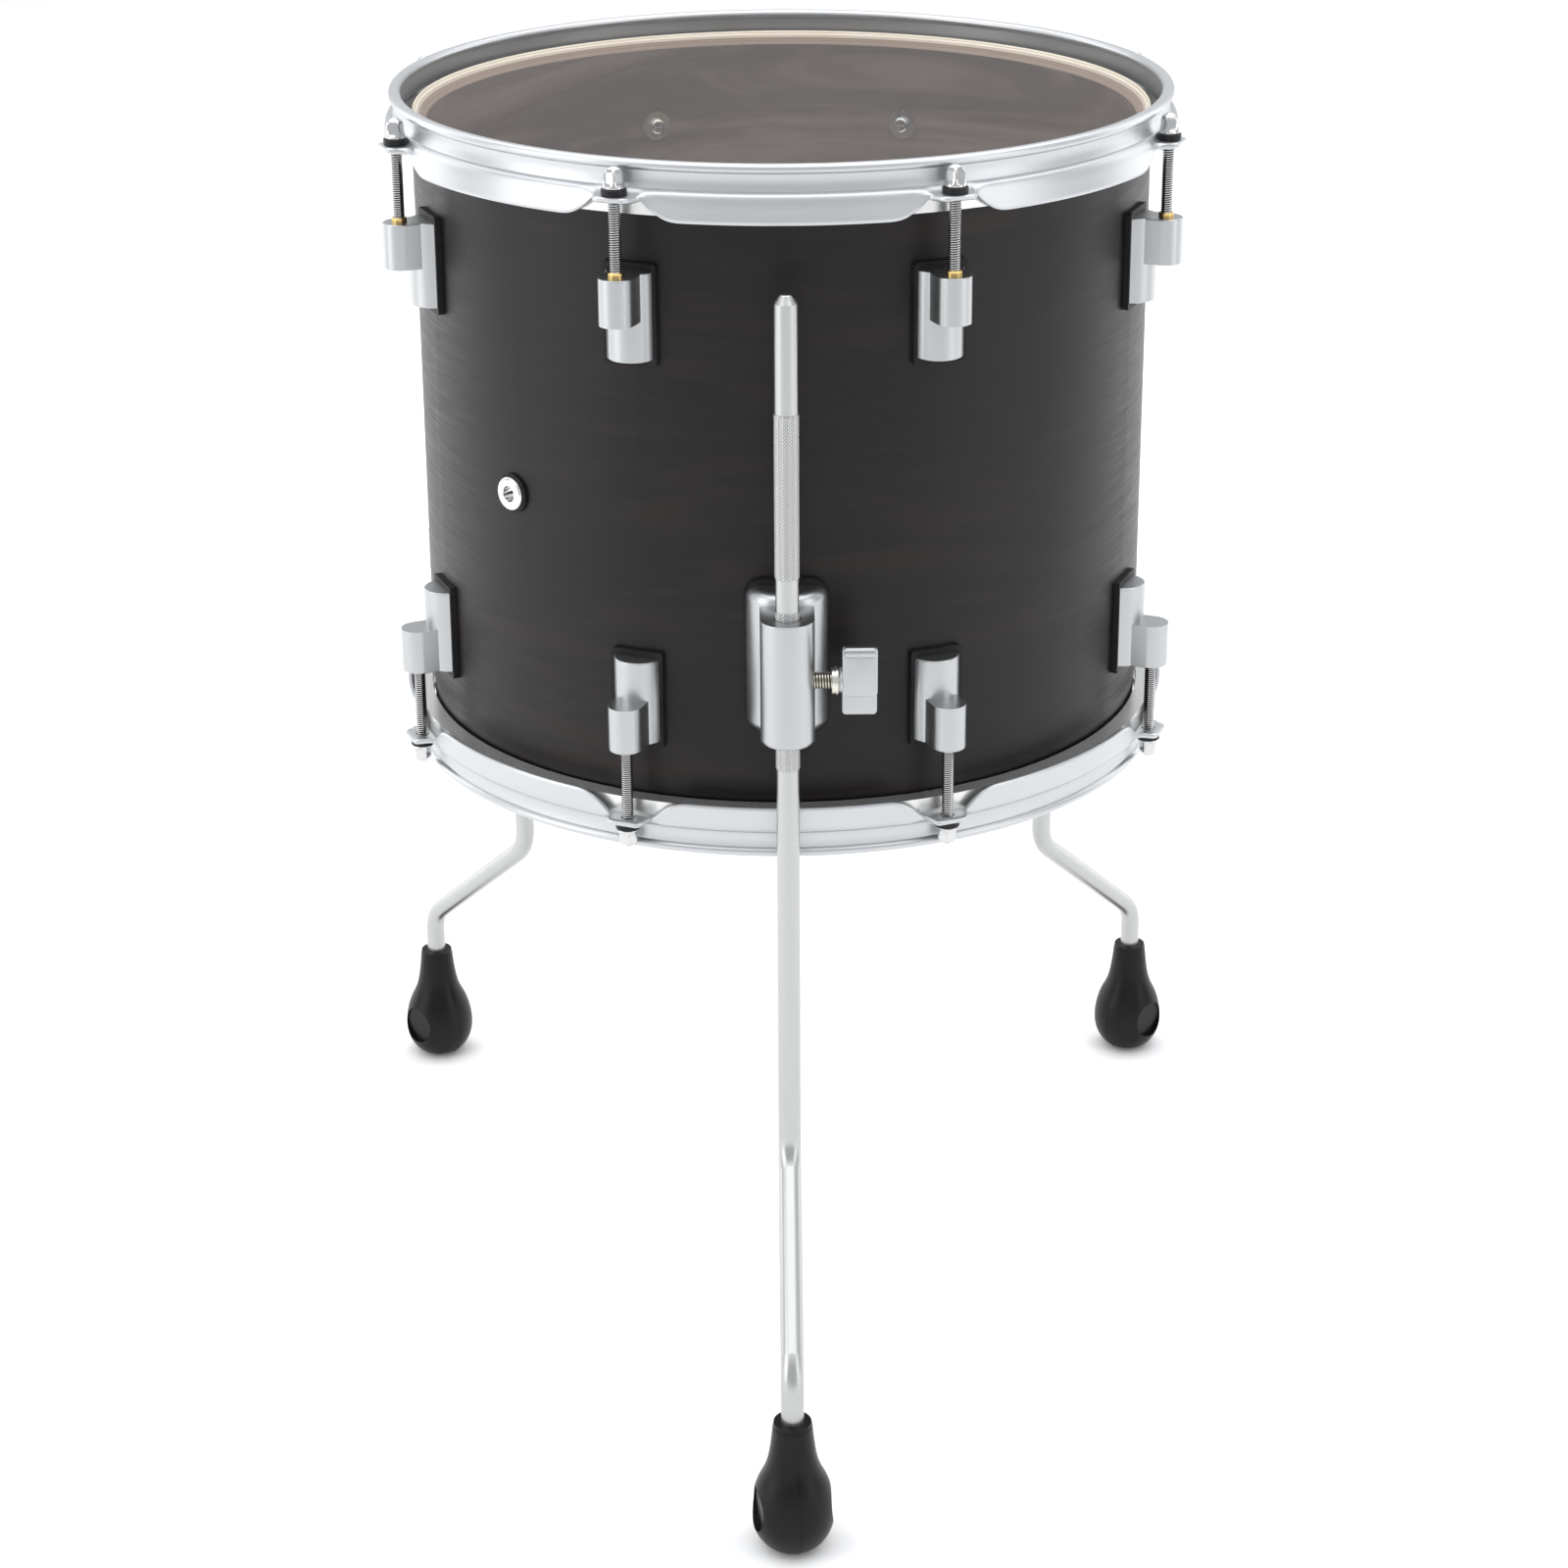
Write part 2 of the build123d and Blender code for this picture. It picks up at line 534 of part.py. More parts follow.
def make_clamp_pad():
    """Small block that the wing bolt pushes against the leg."""
    y, z = -LEG_CIRCLE, WING_HEIGHT
    pad = sideways(BOLT_RADIUS, PAD_FRONT, PAD_BACK, y, z)
    return pad - upright(PAD_FACE, z - 10, z + 10, y=y)


def make_vent():
    """Eyelet through the shell: flanged tube, rubber ring under it and a nut inside."""
    z = -VENT_DROP
    seat = SHELL_RADIUS + VENT_GASKET_T
    tube = radial(VENT_TUBE, INNER_RADIUS - VENT_INSIDE, seat, z=z)
    flange = radial(VENT_FLANGE, seat, seat + VENT_FLANGE_T, z=z)
    flange = fillet(flange.edges().sort_by(Axis.Y)[0], VENT_FLANGE_ROUND)
    eyelet = tube + flange - radial(VENT_BORE, INNER_RADIUS - 5, seat + 5, z=z)
    bore_rims = eyelet.edges().filter_by(lambda e: abs(e.length - 2 * math.pi * VENT_BORE) < 0.01)
    eyelet = fillet(bore_rims.sort_by(Axis.Y)[0], VENT_MOUTH_ROUND)
    gasket = radial(VENT_GASKET, SHELL_RADIUS - 2, seat, z=z) - upright(SHELL_RADIUS, z - 20, z + 20)
    gasket -= radial(VENT_TUBE, SHELL_RADIUS - 4, seat + 1, z=z)
    nut, _ = make_washer(VENT_NUT_RADIUS, VENT_TUBE, VENT_NUT_T, z)
    return eyelet, gasket, nut


def save_ring(name, upper_fitting, lower_fitting=None):
    """One node for each head, holding the same fitting at every lug."""
    lower_fitting = upper_fitting if lower_fitting is None else lower_fitting
    save("upper_" + name, around(upper_fitting, LUG_ANGLES))
    save("lower_" + name, around(flipped(lower_fitting), LUG_ANGLES))


def main():
    os.makedirs("parts", exist_ok=True)
    save("shell", [make_shell()])

    hoop, film, flesh_hoop = make_hoop(), make_film(), make_flesh_hoop()
    save("top_hoop", [hoop])
    save("bottom_hoop", [flipped(hoop)])
    save("batter_film", [film])
    save("resonant_film", [flipped(film)])
    save("batter_flesh_hoop", [flesh_hoop])
    save("resonant_flesh_hoop", [flipped(flesh_hoop)])

    save_ring("lugs", make_lug())
    save_ring("lug_gaskets", make_lug_gasket())
    save_ring("lug_inserts", make_insert(UPPER_INSERT_PROUD), make_insert(LOWER_INSERT_PROUD))
    save_ring("rod_washers", make_rod_washer())
    screws, washers = [], []
    for z in LUG_SCREW_HEIGHTS:
        washer, seat = make_washer(LUG_WASHER_RADIUS, LUG_SCREW_RADIUS, LUG_WASHER_T, z)
        screws.append(make_screw(LUG_SCREW_RADIUS, LUG_SCREW_END, *LUG_SCREW_HEAD, seat, z))
        washers.append(washer)
    save_ring("lug_screws", Compound(children=screws))
    save_ring("lug_screw_washers", Compound(children=washers))

    rod = make_rod()
    for number, angle in enumerate(LUG_ANGLES, start=1):
        save(f"upper_rod_{number}", around(rod, [angle]))
        save(f"lower_rod_{number}", around(flipped(rod), [angle]))

    bracket, bracket_gasket = make_bracket(), make_bracket_gasket()
    leg, wing_bolt, pad = make_leg(), make_wing_bolt(), make_clamp_pad()
    bolt_washers = Compound(children=make_bolt_washers())
    bracket_screws, bracket_washers = [], []
    for z in BRACKET_SCREW_HEIGHTS:
        washer, seat = make_washer(BRACKET_WASHER_RADIUS, BRACKET_SCREW_RADIUS, BRACKET_WASHER_T, z)
        screw = make_screw(BRACKET_SCREW_RADIUS, BRACKET_SCREW_END, *BRACKET_SCREW_HEAD, seat, z)
        bracket_screws.append(screw)
        bracket_washers.append(washer)
    for side, angle in LEG_ANGLES.items():
        save(f"{side}_leg_bracket", around(bracket, [angle]))
        save(f"{side}_leg", around(leg, [angle]))
        save(f"{side}_foot", around(make_foot(FOOT_TURN[side]), [angle]))
        save(f"{side}_wing_bolt", around(wing_bolt, [angle]))
        save(f"{side}_bolt_washers", around(bolt_washers, [angle]))
        save(f"{side}_clamp_pad", around(pad, [angle]))
    save("bracket_gaskets", around(bracket_gasket, LEG_ANGLES.values()))
    save("bracket_screws", around(Compound(children=bracket_screws), LEG_ANGLES.values()))
    save("bracket_screw_washers", around(Compound(children=bracket_washers), LEG_ANGLES.values()))

    eyelet, vent_gasket, vent_nut = make_vent()
    save("vent_eyelet", around(eyelet, [VENT_ANGLE]))
    save("vent_gasket", around(vent_gasket, [VENT_ANGLE]))
    save("vent_nut", around(vent_nut, [VENT_ANGLE]))


main()
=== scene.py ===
import bmesh
import bpy
import json
import math
from mathutils import Matrix, Vector


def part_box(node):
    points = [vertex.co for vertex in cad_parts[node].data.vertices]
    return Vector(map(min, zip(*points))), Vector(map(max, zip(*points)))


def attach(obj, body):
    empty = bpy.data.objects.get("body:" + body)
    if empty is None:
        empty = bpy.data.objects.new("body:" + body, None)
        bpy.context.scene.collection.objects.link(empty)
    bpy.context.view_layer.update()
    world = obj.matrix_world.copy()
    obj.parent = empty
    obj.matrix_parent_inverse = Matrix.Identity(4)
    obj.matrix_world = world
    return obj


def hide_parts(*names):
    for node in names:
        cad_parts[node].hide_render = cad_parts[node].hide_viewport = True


# A floor tom: dark stained shell, clear heads, pressed hoops, threaded rods and three legs.
# Metres, in the row frame. An angle is counted from the front (-Y) towards +X.

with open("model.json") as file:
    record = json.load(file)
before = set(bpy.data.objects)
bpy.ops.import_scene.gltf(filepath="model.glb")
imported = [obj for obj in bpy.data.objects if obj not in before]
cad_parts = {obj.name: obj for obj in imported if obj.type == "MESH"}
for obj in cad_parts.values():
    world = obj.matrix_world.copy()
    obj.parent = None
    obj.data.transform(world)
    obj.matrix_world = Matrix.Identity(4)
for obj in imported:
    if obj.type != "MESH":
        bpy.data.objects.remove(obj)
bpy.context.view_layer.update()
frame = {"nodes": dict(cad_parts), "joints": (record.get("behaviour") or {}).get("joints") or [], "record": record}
JOINTS = {j["name"]: j for j in frame["joints"]}
NODES = frame["nodes"]
MM = 0.001

# ---- places and sizes, from the frame ----
shell_low, shell_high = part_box("shell")
MIDDLE = (shell_low.z + shell_high.z) / 2
SHELL_RADIUS = (shell_high.x - shell_low.x) / 2
SHELL_HALF = (shell_high.z - shell_low.z) / 2
SHELL_WALL = 7.0 * MM
LUG_COUNT = 8
LUG_STEP = 2 * math.pi / LUG_COUNT
FIRST_LUG = LUG_STEP / 2
LEG_ANGLES = {"front": 0.0, "right": math.radians(135), "left": math.radians(-135)}
HEADS = ("upper", "lower")


def place(radius, angle, z):
    return Vector((radius * math.sin(angle), -radius * math.cos(angle), z))


# ---- node helpers for materials ----

class Paint:
    """One node material, with short calls for the nodes that it needs."""

    def __init__(self, name, color, roughness, metallic=0.0):
        self.material = bpy.data.materials.new(name)
        self.material.use_nodes = True
        self.tree = self.material.node_tree
        self.shader = self.tree.nodes["Principled BSDF"]
        self.coords = self.add("ShaderNodeTexCoord").outputs["Object"]
        self.shader.inputs["Base Color"].default_value = (*color, 1)
        self.shader.inputs["Roughness"].default_value = roughness
        self.shader.inputs["Metallic"].default_value = metallic
        self.color = color

    def add(self, kind, **settings):
        node = self.tree.nodes.new(kind)
        for key, value in settings.items():
            setattr(node, key, value)
        return node

    def link(self, source, target):
        self.tree.links.new(source, target)

    def feed(self, name, value):
        """Links a value to one of the shader's sockets."""
        self.link(value, self.shader.inputs[name])

    def set(self, **values):
        for key, value in values.items():
            self.shader.inputs[key.replace("_", " ")].default_value = value

    def scaled(self, scale):
        node = self.add("ShaderNodeMapping")
        node.inputs["Scale"].default_value = scale
        self.link(self.coords, node.inputs["Vector"])
        return node.outputs["Vector"]

    def noise(self, scale, detail=4.0, stretch=(1, 1, 1), distortion=0.0, roughness=0.5):
        node = self.add("ShaderNodeTexNoise")
        node.inputs["Scale"].default_value = scale
        node.inputs["Detail"].default_value = detail
        node.inputs["Distortion"].default_value = distortion
        node.inputs["Roughness"].default_value = roughness
        self.link(self.scaled(stretch), node.inputs["Vector"])
        return node.outputs["Fac"]

    def math(self, operation, a, b=None, clamp=False):
        node = self.add("ShaderNodeMath", operation=operation, use_clamp=clamp)
        for socket, value in zip(node.inputs, (a, b)):
            if value is None:
                continue
            if isinstance(value, (int, float)):
                socket.default_value = value
            else:
                self.link(value, socket)
        return node.outputs[0]

    def spread(self, value, low, high, out_low=0.0, out_high=1.0):
        node = self.add("ShaderNodeMapRange")
        sockets = ("From Min", "From Max", "To Min", "To Max")
        for name, number in zip(sockets, (low, high, out_low, out_high)):
            node.inputs[name].default_value = number
        self.link(value, node.inputs["Value"])
        return node.outputs["Result"]

    def mix(self, factor, a, b):
        node = self.add("ShaderNodeMix", data_type="RGBA")
        for socket, value in ((node.inputs[0], factor), (node.inputs[6], a), (node.inputs[7], b)):
            if isinstance(value, tuple):
                socket.default_value = (*value, 1)
            elif isinstance(value, (int, float)):
                socket.default_value = value
            else:
                self.link(value, socket)
        return node.outputs[2]

    def bump(self, height, strength, distance):
        node = self.add("ShaderNodeBump")
        node.inputs["Strength"].default_value = strength
        node.inputs["Distance"].default_value = distance
        self.link(height, node.inputs["Height"])
        self.feed("Normal", node.outputs["Normal"])

    def vary(self, noise, color_share, rough_low, rough_high):
        """Lets a noise darken the colour down to a share of it, and move the roughness."""
        darker = tuple(c * color_share for c in self.color)
        self.feed("Base Color", self.mix(noise, darker, self.color))
        self.feed("Roughness", self.spread(noise, 0.3, 0.7, rough_low, rough_high))

    def axes(self):
        node = self.add("ShaderNodeSeparateXYZ")
        self.link(self.coords, node.inputs[0])
        return node.outputs[0], node.outputs[1], node.outputs[2]

    def radius(self, along="z"):
        """Distance from the object's own Z axis, or from its X axis."""
        x, y, z = self.axes()
        a, b = (x, y) if along == "z" else (y, z)
        total = self.math("ADD", self.math("MULTIPLY", a, a), self.math("MULTIPLY", b, b))
        return self.math("SQRT", total)


# ---- materials ----

def satin_metal(name, color, rough, grain, depth, stretch=(1, 1, 1), spread=0.03, metallic=1.0):
    """Brushed or cast plate. grain and depth are those of its fine bump."""
    paint = Paint(name, color, rough, metallic)
    cloud = paint.noise(22.0, 5.0)
    paint.vary(cloud, 0.95, rough - spread, rough + spread)
    fine = paint.noise(grain, 3.0, stretch)
    paint.bump(fine, 0.25, depth)
    return paint.material


def bright_metal(name, color, rough):
    paint = Paint(name, color, rough, 1.0)
    smear = paint.noise(160.0, 4.0)
    paint.vary(smear, 0.94, rough * 0.7, rough * 1.5)
    paint.bump(paint.noise(600.0, 2.0), 0.12, 0.00002)
    return paint.material


def cut_metal(name, color, hollow_shade, rough, root, crest, along="z", plain_above=None):
    """Metal with a thread or a knurl about the object's own axis, and painted shade in its hollows."""
    paint = Paint(name, color, rough, 1.0)
    raised = paint.spread(paint.radius(along), root, crest)
    if plain_above is not None:
        plain = paint.math("GREATER_THAN", paint.axes()[2], plain_above)
        raised = paint.math("MAXIMUM", raised, plain)
    smear = paint.noise(160.0, 4.0)
    bright = paint.mix(smear, tuple(c * 0.94 for c in color), color)
    # painted shade: the colour runs down to the shade colour between the crest and the root
    paint.feed("Base Color", paint.mix(raised, hollow_shade, bright))
    paint.feed("Roughness", paint.spread(smear, 0.3, 0.7, rough * 0.8, rough * 1.3))
    paint.bump(paint.noise(600.0, 2.0), 0.12, 0.00002)
    return paint.material


def zinc_metal():
    """Zinc plate with its faint yellow and blue cast."""
    paint = Paint("zinc_plate", (0.66, 0.66, 0.62), 0.28, 1.0)
    cast = paint.noise(90.0, 3.0)
    color = paint.mix(paint.spread(cast, 0.35, 0.65), (0.60, 0.64, 0.66), (0.74, 0.70, 0.56))
    paint.feed("Base Color", color)
    paint.feed("Roughness", paint.spread(cast, 0.3, 0.7, 0.22, 0.36))
    paint.bump(paint.noise(1500.0, 2.0), 0.2, 0.00002)
    return paint.material


def black_rubber(name, color, rough, grain, depth):
    paint = Paint(name, color, rough)
    paint.set(Specular_IOR_Level=0.2)
    dust = paint.noise(60.0, 6.0)
    lighter = tuple(c * 1.7 for c in color)
    paint.feed("Base Color", paint.mix(paint.spread(dust, 0.45, 0.75), color, lighter))
    paint.feed("Roughness", paint.spread(dust, 0.3, 0.7, rough - 0.05, rough + 0.08))
    paint.bump(paint.noise(grain, 3.0), 0.4, depth)
    return paint.material


PLIES = 6
GLUE_SHARE = 0.16                 # of a ply, drawn as the dark line of its glue
INSIDE_MARGIN = 0.4 * MM          # beyond the wall's inner face, still drawn as inside
EDGE_DEPTH = 5.96 * MM            # of the bare bearing edge, down from the shell's rim
EDGE_FACE = 0.35 * MM             # the outermost veneer, stained right up to the rim
STAIN_FROM, STAIN_TO = 3.3 * MM, 1.7 * MM   # below the rim, where the stain on the edge fades out


def stained_shell():
    """Near-black satin stain outside, a thinner one inside, and bare maple on the cut edges."""
    paint = Paint("stained_maple_shell", (0.03, 0.026, 0.027), 0.42)
    paint.set(Specular_IOR_Level=0.30)
    radius = paint.radius()
    _, _, z = paint.axes()
    # fine pores that run round the shell, and the wider figure of the veneer
    pores = paint.noise(34.0, 6.0, (1.0, 1.0, 22.0), 0.6, 0.62)
    figure = paint.noise(5.5, 4.0, (1.0, 1.0, 3.4), 1.6)
    streak = paint.noise(9.0, 5.0, (1.0, 1.0, 9.0), 0.9)
    dark = paint.mix(
        paint.spread(pores, 0.38, 0.66), (0.0022, 0.0017, 0.0024), (0.0068, 0.0050, 0.0058))
    red = paint.mix(
        paint.spread(streak, 0.42, 0.68), (0.0045, 0.0032, 0.0036), (0.0230, 0.0098, 0.0060))
    outside = paint.mix(paint.spread(figure, 0.40, 0.72, 0.0, 0.62), dark, red)
    # thinner stain inside, in slow waves
    wave = paint.noise(3.2, 5.0, (1.0, 1.0, 5.5), 2.4)
    inner_tone = paint.mix(
        paint.spread(wave, 0.40, 0.61), (0.056, 0.040, 0.036), (0.168, 0.126, 0.112))
    inner_pores = paint.spread(pores, 0.34, 0.60, 0.80, 1.0)
    inside = paint.mix(inner_pores, (0.030, 0.021, 0.018), inner_tone)
    is_inside = paint.math("LESS_THAN", radius, SHELL_RADIUS - SHELL_WALL + INSIDE_MARGIN)
    # the bare plies show as rings on the cut edge
    plies = paint.math("FRACT", paint.math("MULTIPLY", radius, 1 / (SHELL_WALL / PLIES)))
    glue = paint.math("LESS_THAN", plies, GLUE_SHARE)
    maple = paint.mix(paint.spread(pores, 0.3, 0.7), (0.70, 0.62, 0.49), (0.84, 0.78, 0.66))
    cream = paint.mix(glue, maple, (0.27, 0.17, 0.10))
    height = paint.math("ABSOLUTE", paint.math("SUBTRACT", z, MIDDLE))
    # the stain has crept up the inside of the bearing edge, and fades out before its crest
    crept = paint.spread(height, SHELL_HALF - STAIN_FROM, SHELL_HALF - STAIN_TO)
    stained_edge = paint.mix(glue, (0.235, 0.165, 0.120), (0.115, 0.072, 0.050))
    edge = paint.mix(crept, stained_edge, cream)
    on_edge = paint.math("GREATER_THAN", height, SHELL_HALF - EDGE_DEPTH)
    below_face = paint.math("LESS_THAN", radius, SHELL_RADIUS - EDGE_FACE)
    bare = paint.math("MULTIPLY", on_edge, below_face)
    body = paint.mix(is_inside, outside, inside)
    paint.feed("Base Color", paint.mix(bare, body, edge))
    rough = paint.spread(pores, 0.35, 0.65, 0.36, 0.47)
    paint.feed("Roughness", rough)
    paint.bump(pores, 0.22, 0.00008)
    return paint.material


def clear_film():
    """Clear polyester: almost invisible face on, with a gloss that grows at a low angle."""
    paint = Paint("clear_polyester", (0.55, 0.52, 0.50), 0.09)
    paint.set(Specular_IOR_Level=0.6)
    facing = paint.add("ShaderNodeLayerWeight")
    facing.inputs["Blend"].default_value = 0.30
    rub = paint.noise(14.0, 5.0)
    haze = paint.math("MULTIPLY", paint.spread(rub, 0.3, 0.7, 0.85, 1.15), 0.02)
    gloss = paint.math("MULTIPLY", facing.outputs["Fresnel"], 0.09)
    alpha = paint.math("ADD", haze, gloss, clamp=True)
    paint.feed("Alpha", alpha)
    paint.feed("Roughness", paint.spread(rub, 0.3, 0.7, 0.06, 0.14))
    return paint.material


LOOKS = {
    "stained_wood": stained_shell(),
    "clear_film": clear_film(),
    "satin_hoop": satin_metal(
        "satin_hoop_plate", (0.565, 0.577, 0.59), 0.34, 700.0, 0.000004,
        spread=0.012, metallic=0.86),
    "flesh_aluminium": satin_metal(
        "drawn_aluminium", (0.76, 0.76, 0.75), 0.26, 900.0, 0.000006, metallic=0.85),
    "satin_casting": satin_metal("satin_casting", (0.49, 0.50, 0.505), 0.32, 1300.0, 0.000012),
    "satin_leg": satin_metal(
        "satin_leg_bar", (0.50, 0.505, 0.50), 0.30, 900.0, 0.000006, (1, 1, 0.05)),
    "rod_chrome": bright_metal("rod_chrome", (0.70, 0.70, 0.70), 0.10),
    "vent_chrome": bright_metal("vent_chrome", (0.78, 0.78, 0.78), 0.14),
    "brass": bright_metal("turned_brass", (0.78, 0.56, 0.22), 0.2),
    "zinc_steel": zinc_metal(),
    "black_rubber": black_rubber("gasket_rubber", (0.010, 0.010, 0.011), 0.5, 1400.0, 0.00004),
    "foot_rubber": black_rubber("foot_rubber", (0.0050, 0.0052, 0.0046), 0.34, 1100.0, 0.00005),
    "black_nylon": black_rubber("black_nylon", (0.012, 0.012, 0.013), 0.32, 900.0, 0.00002),
}

for row in frame["record"]["subparts"]:
    node = NODES[row["node"]]
    node.data.materials.clear()
    node.data.materials.append(LOOKS[row["material_slot"]])


# ---- mesh helpers ----

def piece(name, mesh, body, slot, material=None, replaced=(), matrix=None):
    obj = bpy.data.objects.new(name, mesh)
    bpy.context.scene.collection.objects.link(obj)
    if matrix is not None:
        obj.matrix_world = matrix
    mesh.materials.clear()
    mesh.materials.append(material or LOOKS[slot])
    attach(obj, body)
    if replaced:
        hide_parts(*replaced)
    return obj


def finish_mesh(bm, name, sharp_degrees):
    """Cleans the mesh, points its faces outwards and marks the edges that stay crisp."""
    bmesh.ops.remove_doubles(bm, verts=bm.verts, dist=1e-6)
    bmesh.ops.dissolve_degenerate(bm, edges=bm.edges, dist=1e-6)
    bmesh.ops.recalc_face_normals(bm, faces=bm.faces)
    for face in bm.faces:
        face.smooth = True
    limit = math.radians(sharp_degrees)
    for edge in bm.edges:
        edge.smooth = len(edge.link_faces) == 2 and edge.calc_face_angle(0.0) < limit
    mesh = bpy.data.meshes.new(name)
    bm.to_mesh(mesh)
    bm.free()
    return mesh


def append_to(bm, other):
    """Adds the other bmesh to this one, and frees it."""
    mesh = bpy.data.meshes.new("part")
    other.to_mesh(mesh)
    other.free()
    bm.from_mesh(mesh)
    bpy.data.meshes.remove(mesh)


def skin(rings, closed_length=False):
    """A bmesh through rings with the same number of points: capped, or joined end to end."""
    bm = bmesh.new()
    rows = [[bm.verts.new(p) for p in ring] for ring in rings]
    count = len(rows[0])
    pairs = list(zip(rows, rows[1:]))
    if closed_length:
        pairs.append((rows[-1], rows[0]))
    for a, b in pairs:
        for i in range(count):
            j = (i + 1) % count
            bm.faces.new((a[i], a[j], b[j], b[i]))
    if not closed_length:
        bm.faces.new(list(reversed(rows[0])))
        bm.faces.new(rows[-1])
    return bm


def circle_ring(radius, z, segments):
    steps = [2 * math.pi * i / segments for i in range(segments)]
    return [Vector((radius * math.cos(a), radius * math.sin(a), z)) for a in steps]


THREAD_RUNOUT = 0.3               # of a pitch below the top, where the thread ends


def threaded(bm, crest, root, pitch, low, high, segments=20):
    """Adds a right-hand screw thread along Z, from low to high, closed at both ends."""
    # (share of the pitch, radius): the root, then the two edges of the crest
    profile = ((0.0, root), (0.36, crest), (0.58, crest))
    turns = int((high - low) / pitch)
    columns = []
    for k in range(segments):
        angle = 2 * math.pi * k / segments
        column = [bm.verts.new((root * math.cos(angle), root * math.sin(angle), low))]
        for turn in range(turns):
            for share, radius in profile:
                z = low + pitch * (turn + share + k / segments)
                radius = radius if z < high - pitch * THREAD_RUNOUT else root
                z = min(z, high)
                column.append(bm.verts.new((radius * math.cos(angle), radius * math.sin(angle), z)))
        column.append(bm.verts.new((root * math.cos(angle), root * math.sin(angle), high)))
        columns.append(column)
    step = len(profile)
    for k in range(segments - 1):
        a, b = columns[k], columns[k + 1]
        for i in range(len(a) - 1):
            bm.faces.new((a[i], b[i], b[i + 1], a[i + 1]))
    # the last column meets the first one a whole pitch further up
    a, b = columns[-1], columns[0]
    last = len(a) - 1
    for i in range(1, last - step):
        bm.faces.new((a[i], b[i + step], b[i + step + 1], a[i + 1]))
    for i in range(step):
        bm.faces.new((a[0], b[i + 1], b[i]))
    bm.faces.new((a[0], a[1], b[1 + step], b[step]))
    for i in range(last - step, last):
        bm.faces.new((a[i], b[last], a[i + 1]))
    bm.faces.new([column[0] for column in reversed(columns)])
    bm.faces.new([column[-1] for column in columns])


# ---- hoops ----
# In millimetres. Heights are above the shell's middle, for the upper hoop.
LIP = {"radius": 184.5, "half_width": 2.9, "height": 159.8, "half_height": 2.2}
LIP_ENDS = (252, -74)             # degrees at which the lip meets the wall, inside and outside
WALL_OUT = 185.5
WALL_TUCK = 0.1                   # the wall starts this far under the lip
WALL_HOLLOW = 0.35                # its outer face is slightly dished
SHEET = 2.3
SHOULDER = 149.8                  # where the flange leaves the wall
TURN_ABOVE = 1.0                  # and how far above it the bend starts
SKIRT_OUT = 189.9
SKIRT_BELT = 4.6                  # the skirt is upright at least this far below the shoulder
SKIRT_FREE = (190.4, 136.0)
EAR_LEVEL = 147.3
EAR_REACH = 199.3
EAR_ROOT_REACH = 190.6
EAR_BEND = 188.6                  # radii where an ear's plate bends out and runs flat
EAR_FLAT = 190.4
EAR_DROOP = 0.9                   # beside an ear the free edge hangs this much lower
# distances along the hoop from the nearest rod
EAR_TIP_HALF = 6.4
EAR_DIAGONAL_END = 11.5
SWOOP_START = 6.5
SWOOP_END = 31.0
SWOOP_HASTE = 1.6                 # above 1, the edge drops sooner than it levels out
EDGE_ROUND, EDGE_FLANK, EDGE_SIDE = 0.8, 0.62, 0.6   # rounded free edge, in halves of the sheet
ROD_RADIUS_CIRCLE = 192.5
EAR_HOLE = 3.2
HOLE_CUT = 6
HOOP_STEPS = 44                   # sections from a rod to half way to the next one
NEAR_SHARE = 0.6                  # of them, within the ear and its sweep
NEAR_MARGIN = 1.5
HOOP_MIDLINE = 13.0               # outside the shell, where distances along the hoop are measured


def smooth(value):
    """Eases a share from 0 to 1."""
    value = min(max(value, 0.0), 1.0)
    return value * value * (3 - 2 * value)


def bezier(points, t):
    """The point at share t of a curve with these control points."""
    while len(points) > 1:
        points = [a.lerp(b, t) for a, b in zip(points, points[1:])]
    return points[0]


def hoop_outer(distance):
    """Outer face of the flange, from the foot of the wall to its free edge, as (radius, height)
    points. distance is how far along the hoop the section lies from the nearest rod."""
    ear = 1.0 - smooth((distance - EAR_DIAGONAL_END * 0.72) / (EAR_DIAGONAL_END * 0.75))
    diagonal = smooth((distance - EAR_TIP_HALF) / (EAR_DIAGONAL_END - EAR_TIP_HALF))
    share = min(max((distance - SWOOP_START) / (SWOOP_END - SWOOP_START), 0.0), 1.0)
    drop = smooth(1.0 - (1.0 - share) ** SWOOP_HASTE)
    reach = EAR_REACH + (EAR_ROOT_REACH - EAR_REACH) * diagonal
    free_z = EAR_LEVEL + (SKIRT_FREE[1] - EAR_LEVEL) * drop - EAR_DROOP * (1 - ear) * (1 - drop)
    free = Vector((reach, free_z))
    turn = Vector((WALL_OUT + 0.1, SHOULDER + TURN_ABOVE))
    start = Vector((WALL_OUT + 1.0, SHOULDER))
    shoulder_skirt = Vector((SKIRT_OUT + 0.1, SHOULDER - 0.6))
    shoulder_ear = Vector((EAR_BEND, EAR_LEVEL + 0.1))
    bend = shoulder_skirt.lerp(shoulder_ear, ear)
    below_skirt = Vector((SKIRT_OUT + 0.1, min(SHOULDER - SKIRT_BELT, free_z + 6.0)))
    if free_z > SHOULDER - 5.0:
        below_skirt = bend.lerp(free, 0.45)
    below_ear = Vector((EAR_FLAT, EAR_LEVEL))
    below = below_skirt.lerp(below_ear, ear)
    points = [turn, turn.lerp(start, 0.55) + Vector((-0.12, -0.22)), start]
    points += [bezier([start, bend, below], t) for t in (0.2, 0.4, 0.6, 0.8, 1.0)]
    points += [below.lerp(free, t) for t in (0.35, 0.7, 1.0)]
    return points


